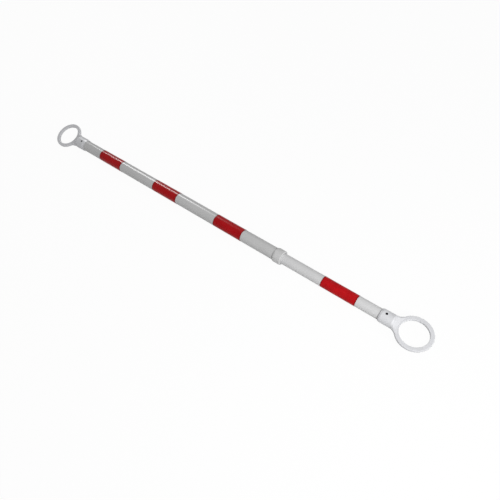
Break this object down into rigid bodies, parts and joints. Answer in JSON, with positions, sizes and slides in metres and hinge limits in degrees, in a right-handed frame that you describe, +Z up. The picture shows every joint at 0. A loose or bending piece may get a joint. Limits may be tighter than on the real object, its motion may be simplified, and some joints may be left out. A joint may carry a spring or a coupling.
{
  "type": "telescopic cone bar",
  "caption": "Telescopic red and white barrier bar: tubes that slide and twist lock, with a moulded ring head at each end that drops over a traffic cone.",
  "frame": {"origin": "centre of the outer ring's hole", "axes": "+X along the bar from the outer ring to the inner ring, +Z up, along the axis of the inner ring's hole"},
  "size_m": [1.4885, 0.098, 0.0439],
  "materials": {
    "white_moulding": "satin moulded ABS",
    "white_tube": "satin extruded tube",
    "red_film": "reflective film",
    "black_screw": "black oxide",
    "plug_nylon": "moulded nylon",
    "cam_nylon": "natural nylon",
    "zinc_steel": "zinc plated"
  },
  "bodies": {
    "outer": {"outer_ring_head": "white_moulding", "outer_head_screw": "black_screw", "outer_tube": "white_tube", "outer_red_band_1": "red_film", "outer_red_band_2": "red_film", "outer_red_band_3": "red_film", "collar": "white_moulding"},
    "guide": {"guide_ring": "cam_nylon"},
    "inner": {"inner_ring_head": "white_moulding", "inner_head_screw": "black_screw", "inner_tube": "white_tube", "inner_red_band_1": "red_film", "inner_red_band_2": "red_film", "inner_red_band_3": "red_film", "lock_plug": "plug_nylon", "cam_washer": "zinc_steel", "cam_screw": "zinc_steel"},
    "cam": {"lock_cam": "cam_nylon"}
  },
  "joints": [
    {"name": "telescope", "type": "slide", "parent": "outer", "child": "guide", "axis": [1, 0, 0], "range_m": [-0.3055, 0.513]},
    {"name": "twist", "type": "hinge", "parent": "guide", "child": "inner", "pos_m": [0.45055, 0, 0], "axis": [1, 0, 0], "continuous": true},
    {"name": "cam_lock", "type": "hinge", "parent": "inner", "child": "cam", "pos_m": [0.42125, 0, 0.0015], "axis": [1, 0, 0], "range_deg": [-10, 10]}
  ]
}
